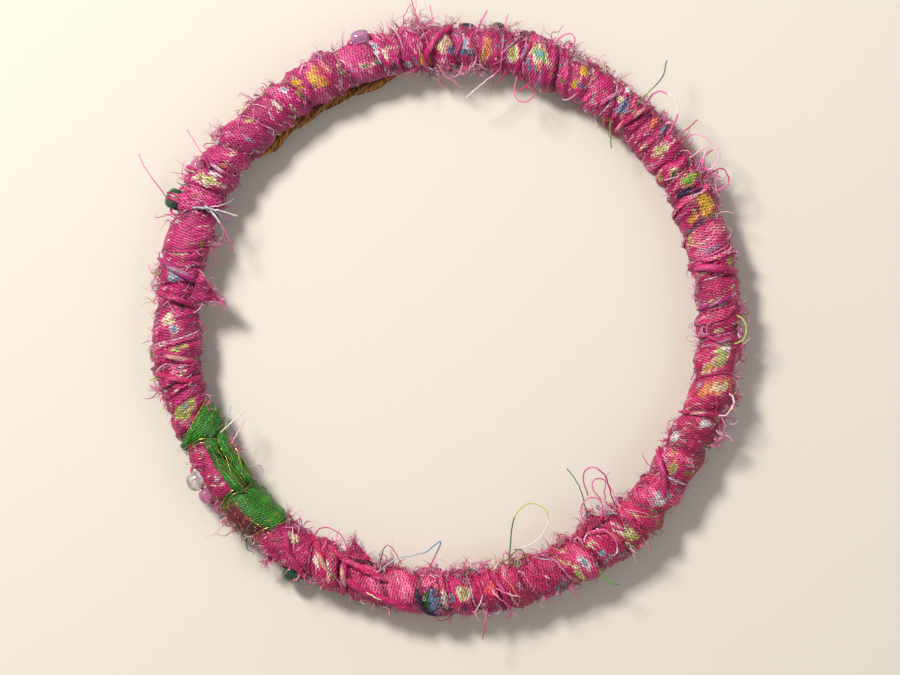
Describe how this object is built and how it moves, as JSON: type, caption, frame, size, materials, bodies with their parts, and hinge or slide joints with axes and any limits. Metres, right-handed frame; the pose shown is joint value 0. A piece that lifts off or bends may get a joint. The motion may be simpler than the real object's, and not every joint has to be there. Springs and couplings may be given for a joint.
{
  "type": "bangle bracelet",
  "caption": "Rigid round bangle wound all the way round with torn strips of printed sari silk, with frayed edges and glass seed beads along the rim.",
  "frame": {"origin": "centre of the wrist opening, half way through the thickness of the hoop", "axes": "+Z along the axis of the hoop, out of the face seen when the bangle lies flat; +X and +Y in the plane of the hoop, with the green silk near -X -Y"},
  "size_m": [0.0776, 0.0775, 0.0069],
  "materials": {
    "magenta_silk": "soft sheen",
    "green_silk": "soft sheen",
    "ochre_cotton": "matt",
    "stitch_thread": "matt",
    "gold_thread": "bright",
    "steel_wire": "drawn",
    "black_glass": "gloss",
    "dark_green_glass": "iridescent gloss",
    "clear_glass": "pearl gloss",
    "pink_glass": "gloss",
    "lilac_glass": "gloss",
    "magenta_glass": "gloss",
    "gold_glass": "gloss"
  },
  "bodies": {
    "wrapped_hoop": {"bead_stitch_01": "stitch_thread", "bead_stitch_02": "stitch_thread", "bead_stitch_03": "stitch_thread", "bead_stitch_04": "stitch_thread", "bead_stitch_05": "stitch_thread", "bead_stitch_06": "stitch_thread", "bead_stitch_07": "stitch_thread", "bead_stitch_08": "stitch_thread", "bead_stitch_09": "stitch_thread", "bead_stitch_10": "stitch_thread", "beaded_strip": "magenta_silk", "gold_thread": "gold_thread", "green_strip_lower": "green_silk", "green_strip_upper": "green_silk", "green_twist": "green_silk", "hoop_wire": "steel_wire", "magenta_strip_1": "magenta_silk", "magenta_strip_2": "magenta_silk", "magenta_strip_3": "magenta_silk", "magenta_strip_4": "magenta_silk", "magenta_strip_5": "magenta_silk", "magenta_strip_6": "magenta_silk", "magenta_strip_7": "magenta_silk", "magenta_strip_8": "magenta_silk", "magenta_strip_9": "magenta_silk", "ochre_twist": "ochre_cotton", "ochre_underwrap": "ochre_cotton"},
    "bead_01": {"seed_bead_01": "black_glass"},
    "bead_02": {"seed_bead_02": "dark_green_glass"},
    "bead_03": {"seed_bead_03": "black_glass"},
    "bead_04": {"seed_bead_04": "lilac_glass"},
    "bead_05": {"seed_bead_05": "pink_glass"},
    "bead_06": {"seed_bead_06": "dark_green_glass"},
    "bead_07": {"seed_bead_07": "clear_glass"},
    "bead_08": {"seed_bead_08": "gold_glass"},
    "bead_09": {"seed_bead_09": "magenta_glass"},
    "bead_10": {"seed_bead_10": "clear_glass"},
    "bead_11": {"seed_bead_11": "pink_glass"},
    "bead_12": {"seed_bead_12": "dark_green_glass"}
  },
  "joints": [
    {"name": "bead_01_spin", "type": "hinge", "parent": "wrapped_hoop", "child": "bead_01", "pos_m": [0.01009, 0.03687, -0.00158], "axis": [-0.9646, 0.2639, 0], "continuous": true},
    {"name": "bead_02_spin", "type": "hinge", "parent": "wrapped_hoop", "child": "bead_02", "pos_m": [0.00659, 0.03779, -0.00165], "axis": [-0.9851, 0.1719, 0], "continuous": true},
    {"name": "bead_03_spin", "type": "hinge", "parent": "wrapped_hoop", "child": "bead_03", "pos_m": [0.00252, 0.03792, -0.00182], "axis": [-0.9978, 0.0663, 0], "continuous": true},
    {"name": "bead_04_spin", "type": "hinge", "parent": "wrapped_hoop", "child": "bead_04", "pos_m": [-0.01145, 0.03675, 0.0008], "axis": [-0.9548, -0.2974, 0], "continuous": true},
    {"name": "bead_05_spin", "type": "hinge", "parent": "wrapped_hoop", "child": "bead_05", "pos_m": [-0.0327, 0.01988, 0.00129], "axis": [-0.5195, -0.8545, 0], "continuous": true},
    {"name": "bead_06_spin", "type": "hinge", "parent": "wrapped_hoop", "child": "bead_06", "pos_m": [-0.03561, 0.01563, 0.00024], "axis": [-0.4019, -0.9157, 0], "continuous": true},
    {"name": "bead_07_spin", "type": "hinge", "parent": "wrapped_hoop", "child": "bead_07", "pos_m": [-0.03803, 0.0044, -0.00124], "axis": [-0.1149, -0.9934, 0], "continuous": true},
    {"name": "bead_08_spin", "type": "hinge", "parent": "wrapped_hoop", "child": "bead_08", "pos_m": [-0.03802, -0.0045, -0.0016], "axis": [0.1461, -0.9893, 0], "continuous": true},
    {"name": "bead_09_spin", "type": "hinge", "parent": "wrapped_hoop", "child": "bead_09", "pos_m": [-0.03766, -0.00698, -0.0016], "axis": [0.1461, -0.9893, 0], "continuous": true},
    {"name": "bead_10_spin", "type": "hinge", "parent": "wrapped_hoop", "child": "bead_10", "pos_m": [-0.03276, -0.02116, 0.0003], "axis": [0.565, -0.8251, 0], "continuous": true},
    {"name": "bead_11_spin", "type": "hinge", "parent": "wrapped_hoop", "child": "bead_11", "pos_m": [-0.03143, -0.0231, 0.0003], "axis": [0.565, -0.8251, 0], "continuous": true},
    {"name": "bead_12_spin", "type": "hinge", "parent": "wrapped_hoop", "child": "bead_12", "pos_m": [-0.0203, -0.03326, -0.00049], "axis": [0.8536, -0.521, 0], "continuous": true}
  ]
}
